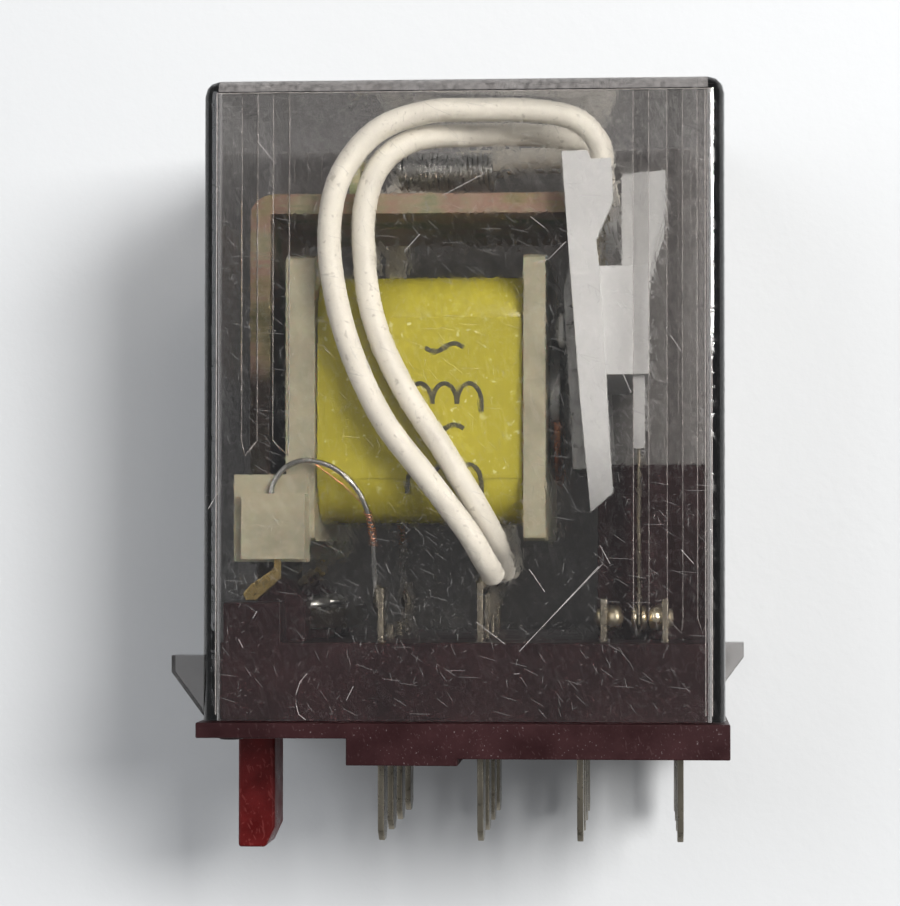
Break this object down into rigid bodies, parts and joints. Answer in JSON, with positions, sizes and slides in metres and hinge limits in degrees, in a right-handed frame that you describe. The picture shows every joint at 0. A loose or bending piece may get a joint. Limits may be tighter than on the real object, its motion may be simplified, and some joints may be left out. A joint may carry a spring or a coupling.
{
  "type": "industrial control relay",
  "caption": "Plug-in changeover relay with flat blades, a red coding key and a clear clip-on cover over its coil, armature and leaf contacts.",
  "frame": {"origin": "centre of the base's seating face, between the second and third blade rows", "axes": "+Z from the blades up to the top of the cover, +X from the coil end to the contact end, +Y across the poles, away from the side with pole 1"},
  "size_m": [0.042, 0.028, 0.0564],
  "materials": {
    "burgundy_plastic": "moulded, slightly dusty",
    "red_plastic": "moulded, satin",
    "clear_plastic": "clear smoky cover, scratched",
    "white_plastic": "moulded, satin",
    "natural_nylon": "milky, slightly translucent",
    "yellow_tape": "polyester tape",
    "lead_insulation": "soft extruded insulation",
    "chromated_steel": "yellow chromate with iridescent edges",
    "bright_steel": "plated",
    "dark_steel": "dark annealed",
    "spring_steel": "drawn wire",
    "spring_bronze": "rolled strip",
    "tinned_brass": "tinned, tarnished",
    "tinned_wire": "tinned copper wire",
    "brass": "tarnished",
    "contact_silver": "silver alloy",
    "copper": "bright",
    "copper_wire": "enamelled"
  },
  "bodies": {
    "root": {"base": "burgundy_plastic", "bobbin": "natural_nylon", "break_rivet_1": "contact_silver", "break_rivet_2": "contact_silver", "break_rivet_3": "contact_silver", "break_rivet_4": "contact_silver", "break_terminal_1": "tinned_brass", "break_terminal_2": "tinned_brass", "break_terminal_3": "tinned_brass", "break_terminal_4": "tinned_brass", "coding_key": "red_plastic", "coil_lead_1": "tinned_wire", "coil_lead_2": "tinned_wire", "coil_tag_1": "brass", "coil_tag_2": "brass", "coil_tape": "yellow_tape", "coil_terminal_1": "tinned_brass", "coil_terminal_2": "tinned_brass", "common_terminal_1": "tinned_brass", "common_terminal_2": "tinned_brass", "common_terminal_3": "tinned_brass", "common_terminal_4": "tinned_brass", "core": "bright_steel", "cover": "clear_plastic", "frame_rivet_1": "bright_steel", "frame_rivet_2": "bright_steel", "lead_1": "lead_insulation", "lead_2": "lead_insulation", "lead_3": "lead_insulation", "lead_4": "lead_insulation", "make_rivet_1": "contact_silver", "make_rivet_2": "contact_silver", "make_rivet_3": "contact_silver", "make_rivet_4": "contact_silver", "make_terminal_1": "tinned_brass", "make_terminal_2": "tinned_brass", "make_terminal_3": "tinned_brass", "make_terminal_4": "tinned_brass", "return_spring": "spring_steel", "shading_ring": "copper", "spare_blade_1": "tinned_brass", "spare_blade_2": "tinned_brass", "winding": "copper_wire", "yoke": "chromated_steel"},
    "armature_assembly": {"armature": "dark_steel", "contact_carrier": "white_plastic", "moving_spring_1": "spring_bronze", "moving_spring_2": "spring_bronze", "moving_spring_3": "spring_bronze", "moving_spring_4": "spring_bronze"},
    "contact_tips": {"moving_contact_1": "contact_silver", "moving_contact_2": "contact_silver", "moving_contact_3": "contact_silver", "moving_contact_4": "contact_silver"}
  },
  "joints": [
    {"name": "armature_hinge", "type": "hinge", "parent": "root", "child": "armature_assembly", "pos_m": [0.00735, 0, 0.04002], "axis": [0, 1, 0], "range_deg": [0, 3], "stiffness_Nm_per_rad": 0.05, "springref_deg": -3.44, "deforming": ["return_spring"]},
    {"name": "contact_flex", "type": "hinge", "parent": "armature_assembly", "child": "contact_tips", "pos_m": [0.01255, 0, 0.022], "axis": [0, 1, 0], "range_deg": [-5, 0], "deforming": ["moving_spring_1", "moving_spring_2", "moving_spring_3", "moving_spring_4"]}
  ],
  "couplings": [
    {"joint": "contact_flex", "follows": "armature_hinge", "ratio": -1.64}
  ]
}
